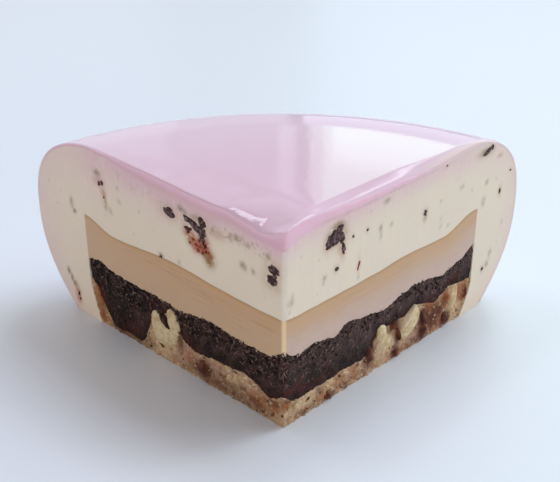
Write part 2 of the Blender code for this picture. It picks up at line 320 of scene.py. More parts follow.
def glaze_section(share, level, turn):
    """The glaze follows the outline, and rounds and sinks at the cuts and at the point."""
    outer = outer_line(share, GLAZE_FOOT).copy()
    radius = outer.x
    depth = glaze_depth(radius, turn)
    inner = outer - outward(share, GLAZE_FOOT) * depth
    shares, bead = [], 0
    ways = [radius * sin(min(apart * SLICE_ANGLE, pi / 2)) for apart in (turn, 1 - turn)]
    start, reach, much = LIP_NARROWS
    narrow = 1 - much * smooth((radius - start) / reach)
    for side, away in enumerate(ways):
        shares.append(max(1 - away / (LIP_WIDTH[side] * narrow), 0) ** LIP_POWER[side])
        deep, wide = (along(rows, radius) for rows in BEAD[side])
        bead = max(bead, deep * exp(-away / wide))
    left, right = shares
    lip = left * lip_depth(radius, 0) + right * lip_depth(radius, 1)
    lip *= (left + right - left * right) / max(left + right, 1e-6)
    lip += bead * smooth(radius / BEAD_START)
    lip += SAG[2] * exp(-((ways[1] - SAG[0]) / SAG[1]) ** 2 - (ways[0] / SAG[1]) ** 2)
    on_top = 1 - smooth((share - FLAT_SHARE) / (SHOULDER_SHARE - FLAT_SHARE))
    outer.y -= min(lip, depth * LIP_DEEPEST) * on_top
    if share == 0:
        inner.x = 0
    if share == 1:
        inner.y = outer.y = GLAZE_FOOT
    return inner.lerp(outer, level)


# ---- meshes ----

def spun_grid(share_cells, level_cells, turn_cells):
    """A quarter turn of a unit square that stands on the X axis, closed at both cuts."""
    bm = bmesh.new()
    bmesh.ops.create_grid(bm, x_segments=share_cells, y_segments=level_cells, size=0.5)
    bmesh.ops.translate(bm, verts=bm.verts, vec=(0.5, 0.5, 0))
    bmesh.ops.rotate(bm, verts=bm.verts, cent=(0, 0, 0), matrix=Matrix.Rotation(pi / 2, 3, 'X'))
    bmesh.ops.spin(bm, geom=bm.verts[:] + bm.edges[:] + bm.faces[:], cent=(0, 0, 0), axis=(0, 0, 1),
                   dvec=(0, 0, 0), angle=SLICE_ANGLE, steps=turn_cells, use_merge=False,
                   use_normal_flip=True, use_duplicate=False)
    bmesh.ops.remove_doubles(bm, verts=bm.verts, dist=1e-5)
    return bm


def cut_axes(side):
    """Along a cut from the point, and the way that the cut looks."""
    half = SLICE_ANGLE / 2
    onward = Vector((side * sin(half), cos(half), 0))
    return onward, Vector((side * cos(half), -sin(half), 0))


def lay_out(bm, section, share_cells, level_cells, turn_cells, relief, cut_end, crowd):
    """Moves each point of the spun grid to its place, and notes where it lies for the finish."""
    level_layer = bm.verts.layers.float.new("level")
    radius_layer = bm.verts.layers.float.new("radius_mm")
    cut_layer = bm.verts.layers.float.new("cut")
    normals = {side: cut_axes(side)[1] for side in (LEFT, RIGHT)}
    for vert in bm.verts:
        share = round(hypot(vert.co.x, vert.co.y) * share_cells) / share_cells
        level = 1 - (1 - round(vert.co.z * level_cells) / level_cells) ** crowd
        even = 1 - atan2(vert.co.y, vert.co.x) / SLICE_ANGLE if share > 0 else 0.5
        even = round(even * turn_cells) / turn_cells
        turn = even - cut_end * sin(2 * pi * even) / (2 * pi)
        place = section(share, level, turn)
        angle = (turn - 0.5) * SLICE_ANGLE
        spot = Vector((place.x * sin(angle), place.x * cos(angle), place.y))
        near = 0
        for cut, side in ((0.0, LEFT), (1.0, RIGHT)):
            depth = place.x * sin(abs(turn - cut) * SLICE_ANGLE)
            fade = exp(-(depth / CUT_REACH) ** 2)
            near = max(near, fade)
            if fade > 0.001:
                spot += normals[side] * relief(side * place.x, place.y, level) * fade
        vert[level_layer] = level
        vert[radius_layer] = place.x / MM * (LEFT if turn < 0.5 else RIGHT)
        vert[cut_layer] = near
        spot.z = max(spot.z, 0.0)
        vert.co = spot + Vector((0, POINT_Y, 0))


def finish_piece(name, bm, material, slot, *nodes):
    """Turns a mesh into a piece that rides on the cake."""
    mesh = bpy.data.meshes.new(name)
    bm.to_mesh(mesh)
    bm.free()
    mesh.shade_smooth()
    mesh.set_sharp_from_angle(angle=SHARP_ANGLE)
    mesh.materials.append(material)
    piece = bpy.data.objects.new(name, mesh)
    bpy.context.scene.collection.objects.link(piece)
    if nodes:
        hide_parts(*nodes)
    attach(piece, "root")
    return piece


def make_layer(name, section, cells, relief, material, slot, replaced, cut_end=0.6, crowd=1):
    """Crowds the cells towards the cuts by cut_end, and towards the layer's top by crowd."""
    bm = spun_grid(*cells)
    lay_out(bm, section, *cells, relief, cut_end, crowd)
    bmesh.ops.recalc_face_normals(bm, faces=bm.faces)
    return finish_piece(name, bm, material, slot, replaced)


def notes(mesh, *names):
    """The values of vertex notes by their names; new ones are made first."""
    for name in names:
        if name not in mesh.attributes:
            mesh.attributes.new(name, 'FLOAT', 'POINT')
    return [mesh.attributes[name].data for name in names]


def mark(mesh, name, rows):
    """Notes the soft spots of a table."""
    spots, radii = notes(mesh, name, "radius_mm")
    for index, vert in enumerate(mesh.vertices):
        radius, height = radii[index].value, vert.co.z / MM
        spot = 0
        for place, high, half_width, half_height, strength in rows:
            off, up = (radius - place) / half_width, (height - high) / half_height
            if abs(off) < 2.5 and abs(up) < 2.5:
                spot = max(spot, strength * min(1.6 * exp(-off ** 2 - up ** 2), 1))
        spots[index].value = spot


def lump(bm, place, height, half_width, half_height, tilt, depth, stands, rough, detail, seed):
    """An uneven round set in a cut; sizes in millimetres, tilt in degrees from upright."""
    onward, normal = cut_axes(copysign(1, place))
    place = abs(place)
    start = len(bm.verts)
    bmesh.ops.create_icosphere(bm, subdivisions=detail, radius=1)
    bm.verts.ensure_lookup_table()
    lean = Matrix.Rotation(radians(tilt), 2)
    shift = Vector((seed, place, height))
    for vert in bm.verts[start:]:
        co = vert.co * (1 + rough * noise.noise(vert.co * 1.3 + shift)
                        + rough * 0.5 * noise.noise(vert.co * 3.1 + shift))
        flat = lean @ Vector((co.x * half_width, co.z * half_height))
        out = co.y * depth + stands - depth
        up = max(height + flat.y, 0)
        vert.co = (onward * (place + flat.x) + normal * out) * MM + Vector((0, POINT_Y, up * MM))


# ---- soft spots ----

# Place along the cut (negative on the left one), height, half width and half height in
# millimetres, and strength.  The mousse's and the biscuit's come with their colours, in the order
# in which they are laid.
MOUSSE_SPOTS = {
    "ochre": ("#A07632", (
        (-22.5, 34, 1.5, 1.7, 1), (-59.9, 36, 0.6, 1.8, 0.7), (-28.2, 36.8, 1.6, 1, 0.6),
        (-24.4, 34.8, 1.2, 1, 0.6), (-20, 41.2, 2, 1, 0.25), (-13.4, 41.9, 2.6, 0.8, 0.3),
        (17.6, 41.4, 2.6, 2.2, 0.25), (48.3, 34.9, 0.6, 0.8, 0.4), (-76, 6.6, 0.9, 1.4, 0.4))),
    "peach": ("#AE3C1E", (
        (-24.3, 36.6, 1.6, 2, 1), (-26.6, 35.8, 2, 1.6, 0.8), (-29, 38, 1.6, 0.9, 0.7),
        (-28, 37, 1.6, 1.2, 0.35), (-60.3, 38.6, 0.9, 0.9, 0.4), (-75.6, 4.2, 1.1, 2, 0.5),
        (79.7, 42.3, 1, 0.6, 0.4), (17.6, 37.4, 0.9, 1.3, 0.3), (-20, 40.6, 2.4, 1.2, 0.12),
        (-62.4, 40.9, 1.6, 1, 0.3), (-22.6, 34.6, 0.8, 0.8, 0.5))),
    "ash": ("#8A7A58", (
        (-62.4, 43.2, 1.2, 0.8, 0.7), (-74.4, 31.8, 0.6, 1.3, 0.7), (-73.6, 29.6, 0.5, 0.6, 0.9),
        (-79, 10.6, 0.7, 0.9, 0.9), (-77.9, 9, 0.5, 1.2, 0.85), (-76.9, 7.6, 0.7, 0.8, 0.8),
        (-39.5, 28.9, 0.7, 0.5, 0.8), (-12, 36.1, 0.8, 0.8, 0.8), (-9, 35.9, 0.5, 0.6, 0.6),
        (-31.7, 43.4, 0.8, 0.7, 0.8), (-30.2, 42.9, 0.5, 0.5, 0.6), (-54.2, 38, 0.5, 0.5, 0.4),
        (-24.8, 38.6, 1, 1.6, 0.8), (-24.4, 36.4, 0.5, 1.4, 0.5), (-22.9, 33.4, 0.5, 1.2, 0.8),
        (-23.9, 34.6, 0.5, 0.9, 0.5), (-58, 34.4, 0.5, 0.8, 0.45), (-26.6, 42.6, 1.8, 0.6, 0.4),
        (-54.6, 41.4, 0.5, 0.5, 0.4), (-33.1, 29.5, 0.5, 0.4, 0.5), (-15.8, 41, 0.5, 0.5, 0.5),
        (-13.9, 42.3, 0.6, 0.5, 0.6), (-10.4, 41.4, 0.7, 0.5, 0.5), (-4.6, 41, 0.7, 0.6, 0.6),
        (31.4, 38.2, 0.45, 0.8, 0.6), (31.6, 36.4, 0.4, 1, 0.4), (33.3, 44.3, 1, 0.6, 0.5),
        (12.6, 32.9, 0.6, 0.6, 0.5), (12.3, 31.8, 0.4, 0.5, 0.4), (2.6, 31.4, 0.4, 1.2, 0.5),
        (1.6, 30.9, 0.4, 0.8, 0.4), (63.2, 38.5, 0.7, 0.6, 0.4), (74.6, 36.4, 0.7, 0.7, 0.5),
        (73.7, 31.3, 0.7, 1.2, 0.45), (79.5, 14.2, 0.6, 1.2, 0.55), (78.4, 11.6, 0.7, 0.9, 0.5),
        (35.3, 37.9, 0.5, 0.5, 0.4), (55.2, 30.6, 0.5, 0.5, 0.4), (16.6, 43.6, 1.8, 1, 0.7),
        (14.6, 42, 1.6, 1.2, 0.5), (72.6, 45, 2.6, 0.9, 0.5), (55, 32.6, 0.4, 0.6, 0.3))),
}
BISCUIT_SPOTS = {
    "rosy": ("#B68C7C", (
        (-33, 5.4, 3, 2, 0.7), (-22, 5.6, 3, 1.4, 0.6), (38.4, 3.4, 3, 2.4, 0.8),
        (57.6, 1.8, 3.2, 1.3, 0.95), (46.6, 3, 3, 2.4, 0.6), (-38, 2.6, 3, 1.4, 0.5),
        (26, 4.6, 2.4, 1.4, 0.5), (-12, 4.6, 2.4, 1.2, 0.5))),
    "butter": ("#DDC096", (
        (-41, 4.6, 4, 3.2, 0.6), (-16, 4.6, 2.4, 1.6, 0.5), (4.6, 4.4, 2.6, 1.6, 0.6),
        (21, 6, 3, 1, 0.6), (64.4, 5.8, 2.4, 5.4, 0.9), (33, 4, 2, 2.4, 0.5),
        (-0.9, 3.2, 2.2, 3, 0.5), (0.8, 2.4, 1.6, 2.4, 0.5), (8.6, 4.4, 4, 1.6, 0.6),
        (16, 5.2, 3, 1.4, 0.6), (36.2, 5, 3, 3.2, 0.8), (24.6, 7, 2.6, 1.4, 0.5))),
    # Brown patches, with wide low bands along the foot that are painted shade where the biscuit
    # meets the table
    "umber_and_painted_foot_shade": ("#5E3A20", (
        (55, 6.6, 2.8, 2.6, 0.95), (47, 1.2, 3.4, 1, 0.5), (-46.6, 2.2, 2, 1.4, 0.5),
        (-34.4, 8, 0.9, 3, 0.8), (-28, 1, 6, 0.9, 0.4), (10, 0.9, 5, 0.9, 0.3),
        (28, 1.4, 4, 1.2, 0.25), (-54, 1.2, 6, 1.5, 0.7), (-17, 1.6, 13, 1.8, 0.5))),
    "toast": ("#A4602F", (
        (-66.6, 6.6, 1.6, 5, 0.75), (-66, 2, 2, 1.6, 0.9), (-8.4, 3.6, 2.4, 1.6, 0.6),
        (-3.2, 4.2, 2.2, 1.6, 0.8), (60.4, 7.8, 2, 2.2, 0.95), (67.8, 7.6, 2.6, 3, 0.8),
        (13, 2.4, 2, 1.2, 0.6), (18.6, 3.4, 1.6, 2.2, 0.5), (24, 3, 1.2, 2, 0.5),
        (41, 1.2, 2.4, 0.9, 0.6), (53, 8.6, 3, 2, 0.7), (56.6, 3.6, 3, 2.6, 0.6),
        (-31, 4, 1.6, 2, 0.4), (0.6, 5.4, 2, 1, 0.8))),
    "rust": ("#561E0E", (
        (-65, 5, 0.9, 2.6, 0.5), (-26.3, 3.5, 2.8, 2.4, 0.9), (-13.4, 1.6, 2, 0.7, 0.35),
        (29.8, 5.4, 1.8, 3, 0.9), (38.8, 9.4, 2.4, 1.2, 0.9), (40.6, 6.2, 0.8, 2.8, 0.9),
        (51.3, 3.8, 2.2, 4.4, 1), (50.6, 7.8, 1.4, 2, 0.9), (60.8, 2.2, 1.9, 2, 1),
        (60.2, 7.6, 1, 1.6, 0.6), (16.4, 0.8, 1.6, 0.9, 0.7), (69, 6.8, 1, 2, 0.7),
        (6.4, 0.9, 1.4, 0.7, 0.4), (-3.6, 5, 2.4, 0.9, 0.6), (2.4, 6.6, 2.6, 0.9, 0.75),
        (39.8, 1.4, 1.3, 1.7, 0.9), (-21, 1.6, 2.4, 1, 0.5), (-17, 3.4, 1.8, 1, 0.45),
        (-8, 2.2, 1.8, 1, 0.5), (12, 4.6, 1.6, 0.9, 0.4), (20.6, 1.4, 1.6, 0.8, 0.5),
        (55.4, 4.2, 2.8, 2.4, 0.75), (58, 5.6, 1.6, 2, 0.75), (-58.6, 1.2, 3, 1.2, 0.6),
        (-20.4, 4.4, 1.2, 0.8, 0.6), (-13.4, 4.2, 1.2, 0.7, 0.6), (-10.4, 3, 1, 0.8, 0.6))),
}

# Brown drag lines in the caramel
DRAG_LINES = (
    (-33, 26, 14, 1.4, 0.45), (-15, 23.6, 12, 3, 0.34), (36, 25, 20, 3, 0.14),
)
# Reddish patches in the chocolate crumb
RED_SPOTS = (
    (-64.8, 7, 1.6, 4, 0.8), (-55, 3.2, 5, 2.2, 0.45), (-50.6, 5, 1.4, 2.6, 0.5),
    (-30.6, 8.4, 2.6, 2.4, 0.5), (-8, 6, 6, 1.4, 0.35), (3, 8.6, 3.4, 1, 0.7),
    (10, 7.4, 6, 1.2, 0.5), (54, 10.6, 4, 1.4, 0.6), (64, 13, 3, 1.2, 0.5), (0.4, 13, 0.9, 3, 0.5),
    (-43, 13.4, 4, 1.6, 0.3),
)


# ---- materials ----

def node(tree, kind, settings=None, **links):
    """Adds a node, sets its properties and joins its inputs."""
    made = tree.nodes.new(kind)
    for key, value in (settings or {}).items():
        setattr(made, key, value)
    join(tree, made, **links)
    return made


def join(tree, made, **links):
    """Gives each input a value, a node's output or a vertex note by its name; i0 is input 0."""
    for key, value in links.items():
        socket = made.inputs[int(key[1:]) if key[1:].isdigit() else key.replace("_", " ")]
        if isinstance(value, str):
            value = node(tree, 'ShaderNodeAttribute', {"attribute_name": value}).outputs["Fac"]
        if isinstance(value, bpy.types.NodeSocket):
            tree.links.new(value, socket)
        else:
            socket.default_value = value


def new_material(name):
    material = bpy.data.materials.new(name)
    material.use_nodes = True
    return material, material.node_tree


def grain(tree, size_mm, detail, stretch=(1, 1, 1), rough=0.55):
    """Noise in the cake's own coordinates, with blotches about size_mm wide."""
    place = node(tree, 'ShaderNodeTexCoord').outputs["Object"]
    mapped = node(tree, 'ShaderNodeMapping', Vector=place, Scale=stretch).outputs[0]
    return node(tree, 'ShaderNodeTexNoise', Vector=mapped, Scale=1 / (size_mm * MM), Detail=detail,
                Roughness=rough).outputs["Fac"]


def where(tree, source, low, high):
    """A share that rises softly from 0 to 1 as its source goes from low to high.

    The source is a vertex note's name, a node's output, or the settings of a grain.
    """
    if isinstance(source, tuple):
        source = grain(tree, *source)
    return node(tree, 'ShaderNodeMapRange', {"interpolation_type": 'SMOOTHSTEP'}, i0=source, i1=low,
                i2=high).outputs[0]


def coat(tree, base, over, *shares):
    """Lays one colour over another, as thickly as the product of its shares.

    A share is a number, a note's name, a node's output, or a source with its low and its high.
    """
    base, over = (paint(tone) if isinstance(tone, str) else tone for tone in (base, over))
    thick, *others = (where(tree, *share) if isinstance(share, tuple) else share
                      for share in shares)
    for share in others:
        thick = node(tree, 'ShaderNodeMath', {"operation": 'MULTIPLY'}, i0=thick,
                     i1=share).outputs[0]
    return node(tree, 'ShaderNodeMix', {"data_type": 'RGBA'}, i0=thick, i6=base,
                i7=over).outputs[2]


def off_point(tree):
    """How far along its cut a place is from the slice's point, in millimetres."""
    return node(tree, 'ShaderNodeMath', {"operation": 'ABSOLUTE'}, i0="radius_mm").outputs[0]


def dress(material, tone, relief, depth_mm, strength, **values):
    """Gives the shader its colour, its finest relief, and what is the same all over."""
    tree = material.node_tree
    bump = node(tree, 'ShaderNodeBump', Height=relief, Distance=depth_mm * MM, Strength=strength)
    join(tree, tree.nodes["Principled BSDF"], Base_Color=tone, Normal=bump.outputs[0], **values)
    return material


def tinted(tone, *factors):
    return tuple(part * factor for part, factor in zip(tone, factors)) + (1,)


def glaze_material(looks):
    """Mirror glaze of gelatine and condensed milk: wet gloss over a milky, slightly clear pink.

    It is satin where it was cut and smeared along its lower line; its cut face is pinker low down
    on the left, and painted light makes it paler towards its top and on the right cut.
    """
    material, tree = new_material("pink_mirror_glaze")
    cut_face = node(tree, 'ShaderNodeMath', {"operation": 'MULTIPLY'},
                    i0=where(tree, "cut", 0.8, 1), i1=where(tree, "level", 1, 0.97)).outputs[0]
    # Painted light on the cut face: paler towards its top, where a highlight would run, and paler
    # on the right cut, which the window lights
    rosy = coat(tree, tinted(looks.glaze, 1.08, 0.89, 0.95), tinted(looks.glaze, 1.23, 1.18, 1.22),
                ("level", 0.35, 0.95))
    rosy = coat(tree, rosy, tinted(looks.glaze, 1.22, 1.11, 1.15), ("radius_mm", -1, 1))
    # Paler, greyer glaze towards the rim: partly thinner glaze over the mousse, partly a painted
    # reflection of the bright room at a grazing view
    tone = coat(tree, looks.glaze, "#E6D2DA", "rim")
    tone = coat(tree, tone, rosy, cut_face)
    streaky = where(tree, (1.2, 3, (1, 1, 0.35)), 0.35, 0.65)
    streaky = node(tree, 'ShaderNodeMapRange', i0=streaky, i3=0.45).outputs[0]
    tone = coat(tree, tone, "#E2BDBB", cut_face, ("level", 0.75, 0.1),
                (off_point(tree), 5, 15), streaky)
    tone = coat(tree, tone, "#E9D6CB", "bare")
    dull = node(tree, 'ShaderNodeMapRange', i0=cut_face, i3=0.055, i4=0.3).outputs[0]
    return dress(material, tone, grain(tree, 1.4, 2), 0.05, 0.25, Roughness=dull, IOR=1.45,
                 Subsurface_Weight=0.3, Subsurface_Radius=(1, 0.55, 0.6), Subsurface_Scale=0.6 * MM)


def mousse_material(looks):
    """Set white mousse: fine and matt, with pores, buried specks and a wash of glaze at its lip."""
    material, tree = new_material("white_mousse")
    tone = coat(tree, looks.mousse, "#A39A88", ((2.6, 1), 0.72, 0.8), 0.3)
    tone = coat(tree, tone, "#E3CFC4", ((9, 2), 0.3, 0.7), 0.12)
    tone = coat(tree, tone, "#E8BFCB", "wash", ((1.3, 3, (1, 1, 0.35)), 0.1, 0.5))
    tone = coat(tree, tone, "#9A8664", ((1.1, 1), 0.5, 0.7), "dirt")
    ragged = where(tree, (1.6, 2), 0.2, 0.5)
    tone = coat(tree, tone, "#CBAA92", "stain", ragged)
    for name, (code, rows) in MOUSSE_SPOTS.items():
        tone = coat(tree, tone, code, name, ragged)
    # Painted highlight: a paler line along the upright edge at the slice's point
    tone = coat(tree, tone, "#F4F0E6", (off_point(tree), 1, 0.1), 0.5)
    return dress(material, tone, grain(tree, 0.7, 4), 0.06, 0.5, Roughness=0.5, IOR=1.4,
                 Subsurface_Weight=0.3, Subsurface_Radius=(1, 0.8, 0.6), Subsurface_Scale=0.5 * MM)


def caramel_material(looks):
    """Set caramel cream: satin, with fine level lines from the knife and a darker top skin."""
    material, tree = new_material("set_caramel")
    lines = grain(tree, 11, 4, (1, 1, 26))
    tone = coat(tree, looks.caramel, tinted(looks.caramel, 1, 0.93, 0.8), ("level", 0.25, 0.95))
    tone = coat(tree, tone, "#D3BBB0", ("radius_mm", -0.5, 1.5), ("level", 0.85, 0.1), 0.75)
    tone = coat(tree, tone, "#C9A39A", ((4, 3, (1, 1, 2.5)), 0.35, 0.7), 0.22)
    tone = coat(tree, tone, "#8F6D4A", (lines, 0.48, 0.68), "drag")
    tone = coat(tree, tone, looks.caramel_skin, ("level", 0.9, 0.985), 0.5)
    # Painted highlight: a bright cream line along the upright edge at the slice's point
    tone = coat(tree, tone, "#FFE2B4", (off_point(tree), 1.1, 0.2), 0.9)
    return dress(material, tone, lines, 0.16, 0.6, Roughness=0.42, IOR=1.45, Subsurface_Weight=0.25,
                 Subsurface_Radius=(1, 0.6, 0.35), Subsurface_Scale=0.5 * MM)


def chocolate_material(looks):
    """Moist chocolate crumb: near black, with greyer grains and many tiny glints."""
    material, tree = new_material("moist_chocolate_crumb")
    fine = grain(tree, 0.5, 4)
    tone = coat(tree, "#190F0D", looks.chocolate, ((2.8, 2, (1, 1, 0.8)), 0.42, 0.58))
    # Painted light: a lighter, greyer tint on the right cut and up the crumb, where the window
    # light and its sheen fall
    tone = coat(tree, tone, "#665050", ("radius_mm", -20, 40), ("level", 0.1, 0.8), 0.7)
    tone = coat(tree, tone, "#26120F", ("level", 0.4, 0), 0.7)
    tone = coat(tree, tone, "#140B0A", ("radius_mm", -46, -56), ("level", 0.95, 0.6), 0.7)
    high = node(tree, 'ShaderNodeMapRange', i0="level", i1=0.2, i3=0.12).outputs[0]
    tone = coat(tree, tone, looks.chocolate_dry, ((0.8, 3, (1, 1, 1.7), 0.7), 0.55, 0.66), high)
    tone = coat(tree, tone, "#5E2216", "red", ((1.5, 3), 0.3, 0.6), 0.75)
    glints = node(tree, 'ShaderNodeMapRange', i0=fine, i1=0.45, i2=0.62, i3=0.75,
                  i4=0.25).outputs[0]
    return dress(material, tone, fine, 0.3, 1, Roughness=glints, IOR=1.5, Specular_IOR_Level=0.2)


def biscuit_material(looks):
    """Nut biscuit: an open, baked crumb with bran and toasted patches."""
    material, tree = new_material("nut_biscuit")
    tone = coat(tree, looks.biscuit, tinted(looks.biscuit, 0.84, 0.74, 0.66),
                ((3.2, 2), 0.4, 0.65))
    tone = coat(tree, tone, "#E6CCA6", ((1.2, 3), 0.52, 0.66))
    tone = coat(tree, tone, "#97603A", ((1.5, 3), 0.55, 0.66), 0.75)
    tone = coat(tree, tone, looks.bran, ((0.9, 3), 0.58, 0.68), 0.8)
    ragged = where(tree, (1.4, 3), 0.14, 0.44)
    for name, (code, rows) in BISCUIT_SPOTS.items():
        tone = coat(tree, tone, code, name, ragged)
    tone = coat(tree, tone, "#6E4026", ((0.75, 3), 0.6, 0.68), 0.5)
    return dress(material, tone, grain(tree, 0.6, 3), 0.15, 0.7, Roughness=0.7, IOR=1.45,
                 Subsurface_Weight=0.2, Subsurface_Radius=(1, 0.6, 0.35), Subsurface_Scale=0.8 * MM)


def bit_material(name, tone, other, roughness, size_mm=0.8, low=0.35):
    """A small hard piece, blotched from its own colour to another one."""
    material, tree = new_material(name)
    tone = coat(tree, tone, other, ((size_mm, 3), low, low + 0.3))
    return dress(material, tone, grain(tree, size_mm * 0.6, 3), 0.12, 0.7, Roughness=roughness,
                 IOR=1.48, Specular_IOR_Level=0.25)


# ---- reliefs of the cuts, outwards from the cut face ----

def seam(level, relief_mm, seam_mm=-0.08):
    """Brings a relief to the same small hollow at a layer's lower and upper line."""
    share = smooth(min(level, 1 - level) / 0.08)
    return (seam_mm + (relief_mm - seam_mm) * share) * MM


def point_edge(radius, reach_mm=0.35, depth_mm=0.25):
    """What is taken off the upright edge at the slice's point, to round it."""
    return exp(-abs(radius) / (reach_mm * MM)) * depth_mm * MM


def wave(radius, height, wide, high, seed):
    """Noise over a cut, whose waves are that wide and high in millimetres."""
    return noise.noise(Vector((radius / (wide * MM), height / (high * MM), seed)))


def glaze_relief(radius, height, level):
    """A rounded bead over the cut, thinner down the side."""
    swell = sqrt(max(1 - max((level - 0.5) / 0.5, 0) ** 3, 0)) * smooth(level / 0.4)
    thin = 0.15 + 0.85 * (1 - smooth((abs(radius) - 60 * MM) / (12 * MM)))
    uneven = 0.8 + 0.6 * wave(radius, height, 2.6, 5, 2)
    return LIP_BULGE * swell * thin * uneven - 0.07 * MM - point_edge(radius, 0.5, 0.3)


def mousse_relief(radius, height, level):
    broad, drag = wave(radius, height, 7, 9, 11), wave(radius, height, 1.4, 7, 4)
    return seam(level, -0.08 + 0.06 * broad + 0.02 * drag) - point_edge(radius)


def caramel_relief(radius, height, level):
    return seam(level, -0.07 + 0.04 * wave(radius, height, 30, 0.8, 6)) - point_edge(radius)


def crumb_relief(size, seed, hollow, pebbles, low_share=1.0):
    """Hollows between crumbs, with pebbles as wide as a grain, fewer low down, and finer grit."""
    def relief(radius, height, level):
        spot = Vector((radius, height, 0.0))
        coarse = wave(radius, height, 2.6, 2.6, seed)
        near, second = noise.voronoi(spot / size + Vector((0, 0, seed)))[0][:2]
        finer, finer_second = noise.voronoi(spot / size * 2.3 + Vector((0, 0, seed + 4)))[0][:2]
        grit = noise.noise(spot / (0.35 * MM) + Vector((0, 0, 8)))
        bumps = min(second - near, 0.5) + 0.45 * min(finer_second - finer, 0.5)
        grown = pebbles * (low_share + (1 - low_share) * smooth(level * 1.4 - 0.4))
        return (hollow * (-0.5 - 0.5 * coarse) + grown * (bumps - 0.45) + 0.08 * grit) * MM
    return relief


# ---- operators ----

class CAKE_OT_glaze(bpy.types.Operator):
    """Pour the mirror glaze over the top and the round side"""
    bl_idname = "cake.glaze"
    bl_label = "Mirror Glaze"

    def execute(self, context):
        looks = context.scene.cake_looks
        piece = make_layer("pink_glaze", glaze_section, (160, 12, 120), glaze_relief,
                           glaze_material(looks), "glaze", "mirror_glaze", 0.8, 1.7)
        bare_the_side(piece.data)
        return {'FINISHED'}


def bare_the_side(mesh):
    """Marks mousse through the glaze's thin cut edges, and a paler rim: thin glaze plus painted
    reflection.
    """
    bare, rim, near, radii = notes(mesh, "bare", "rim", "cut", "radius_mm")
    for index, vert in enumerate(mesh.vertices):
        low = 0.9 * (1 - smooth((vert.co.z - 36 * MM) / (11 * MM)))
        pale = 0.65 * smooth((radii[index].value - 40) / 16)
        bare[index].value = max(low, pale) * smooth((near[index].value - 0.9) / 0.1)
        rim[index].value = 0.4 * smooth((abs(radii[index].value) - 30) / 36)


class CAKE_OT_mousse(bpy.types.Operator):
    """Set the mousse round the insert"""
    bl_idname = "cake.mousse"
    bl_label = "Mousse"

    def execute(self, context):
        looks = context.scene.cake_looks
        piece = make_layer("white_mousse", mousse_section, (220, 34, 48), mousse_relief,
                           mousse_material(looks), "mousse", "mousse", 0.7, 1.4)
        wash_with_glaze(piece.data)
        for name, (code, rows) in MOUSSE_SPOTS.items():
            mark(piece.data, name, rows)
        mark(piece.data, "stain", [(place, height, wide * 1.35, high * 1.5, 0.5)
                                   for place, height, wide, high, tilt in CHIPS + BERRY + TOFFEE])
        return {'FINISHED'}


def wash_with_glaze(mesh):
    """Marks the mousse close under the glaze, where the knife dragged glaze and specks down.

    The radius, the gap to the glaze and how thick the wash is are in millimetres.
    """
    wash, dirt, level, radii = notes(mesh, "wash", "dirt", "level", "radius_mm")
    for index in range(len(mesh.vertices)):
        radius = radii[index].value
        off_left = -radius
        gap = (1 - level[index].value) * (MOUSSE_ABOVE if abs(radius) < 60 else MOUSSE_BESIDE)
        thick = 2.8 + 2.6 * smooth((off_left - 24) / 16)
        fade = 1 - 0.6 * smooth((abs(radius) - 60) / 14)
        wash[index].value = (0.85 if radius < 0 else 0.6) * fade * exp(-(gap / thick) ** 1.6)
        if 3 < off_left < 56:
            strong = 0.55 - 0.35 * smooth((off_left - 24) / 12)
            dirt[index].value = strong * exp(-((gap - 2.6) / 1.5) ** 2)


class CAKE_OT_caramel(bpy.types.Operator):
    """Set the caramel layer"""
    bl_idname = "cake.caramel"
    bl_label = "Caramel"

    def execute(self, context):
        looks = context.scene.cake_looks
        piece = make_layer("set_caramel", layer_section(crumb_line, caramel_line), (180, 24, 32),
                           caramel_relief, caramel_material(looks), "caramel", "caramel_layer")
        mark(piece.data, "drag", DRAG_LINES)
        speck = bit_material("toasted_speck", "#8A5F3A", "#4A2A18", 0.5)
        scatter_grains("caramel_specks", speck, "caramel", 37, 70, caramel_spot, (0.07, 0.2))
        return {'FINISHED'}


class CAKE_OT_chocolate(bpy.types.Operator):
    """Press the chocolate crumb layer, with loose grains at its cuts"""
    bl_idname = "cake.chocolate"
    bl_label = "Chocolate Crumb"

    def execute(self, context):
        looks = context.scene.cake_looks
        crumb = chocolate_material(looks)
        piece = make_layer("chocolate_crumb", layer_section(biscuit_line, crumb_line),
                           (300, 56, 28), crumb_relief(looks.crumb_size, 7.4, 0.9, 0.8, 0.3),
                           crumb, "chocolate", "chocolate_layer")
        mark(piece.data, "red", RED_SPOTS)
        dry = bit_material("dry_crumb", looks.chocolate_dry, looks.chocolate, 0.35)
        bright = bit_material("crumb_strand", "#94786C", "#4A2C28", 0.3)
        milky = bit_material("milky_crumb", "#E2CDB8", "#B59A82", 0.4)
        for grains in (
                ("chocolate_grains", crumb, "chocolate", 17, 500, chocolate_spot, (0.16, 0.42)),
                ("chocolate_shreds", dry, "chocolate", 19, 700, chocolate_spot, (0.08, 0.2), 3),
                ("crumb_strands", bright, "chocolate", 41, 70, point_spot, (0.045, 0.08), 13),
                ("milky_crumbs", milky, "caramel", 31, 110, seam_spot, (0.08, 0.2), 1.6)):
            scatter_grains(*grains)
        return {'FINISHED'}


# Places for loose grains, in millimetres, at the left cut (turn 0) or the right cut (turn 1)

def chocolate_spot(draw, turn):
    """On the crumb's cut, most often near its top line."""
    radius = draw.uniform(0.5, 69)
    low = biscuit_height(radius * MM, turn) / MM + 0.4
    high = crumb_height(radius * MM, turn) / MM + 0.35
    share = draw.random() ** 0.3
    return radius, low + (high - low) * share


def point_spot(draw, turn):
    """On the crumb's cut near the slice's point."""
    return draw.random() ** 1.6 * 16 + 0.3, draw.uniform(9.5, 17)


def caramel_spot(draw, turn):
    """On the caramel's top line."""
    radius = draw.uniform(1, 48)
    return radius, caramel_height(radius * MM, turn) / MM + draw.uniform(-0.25, 0.25)


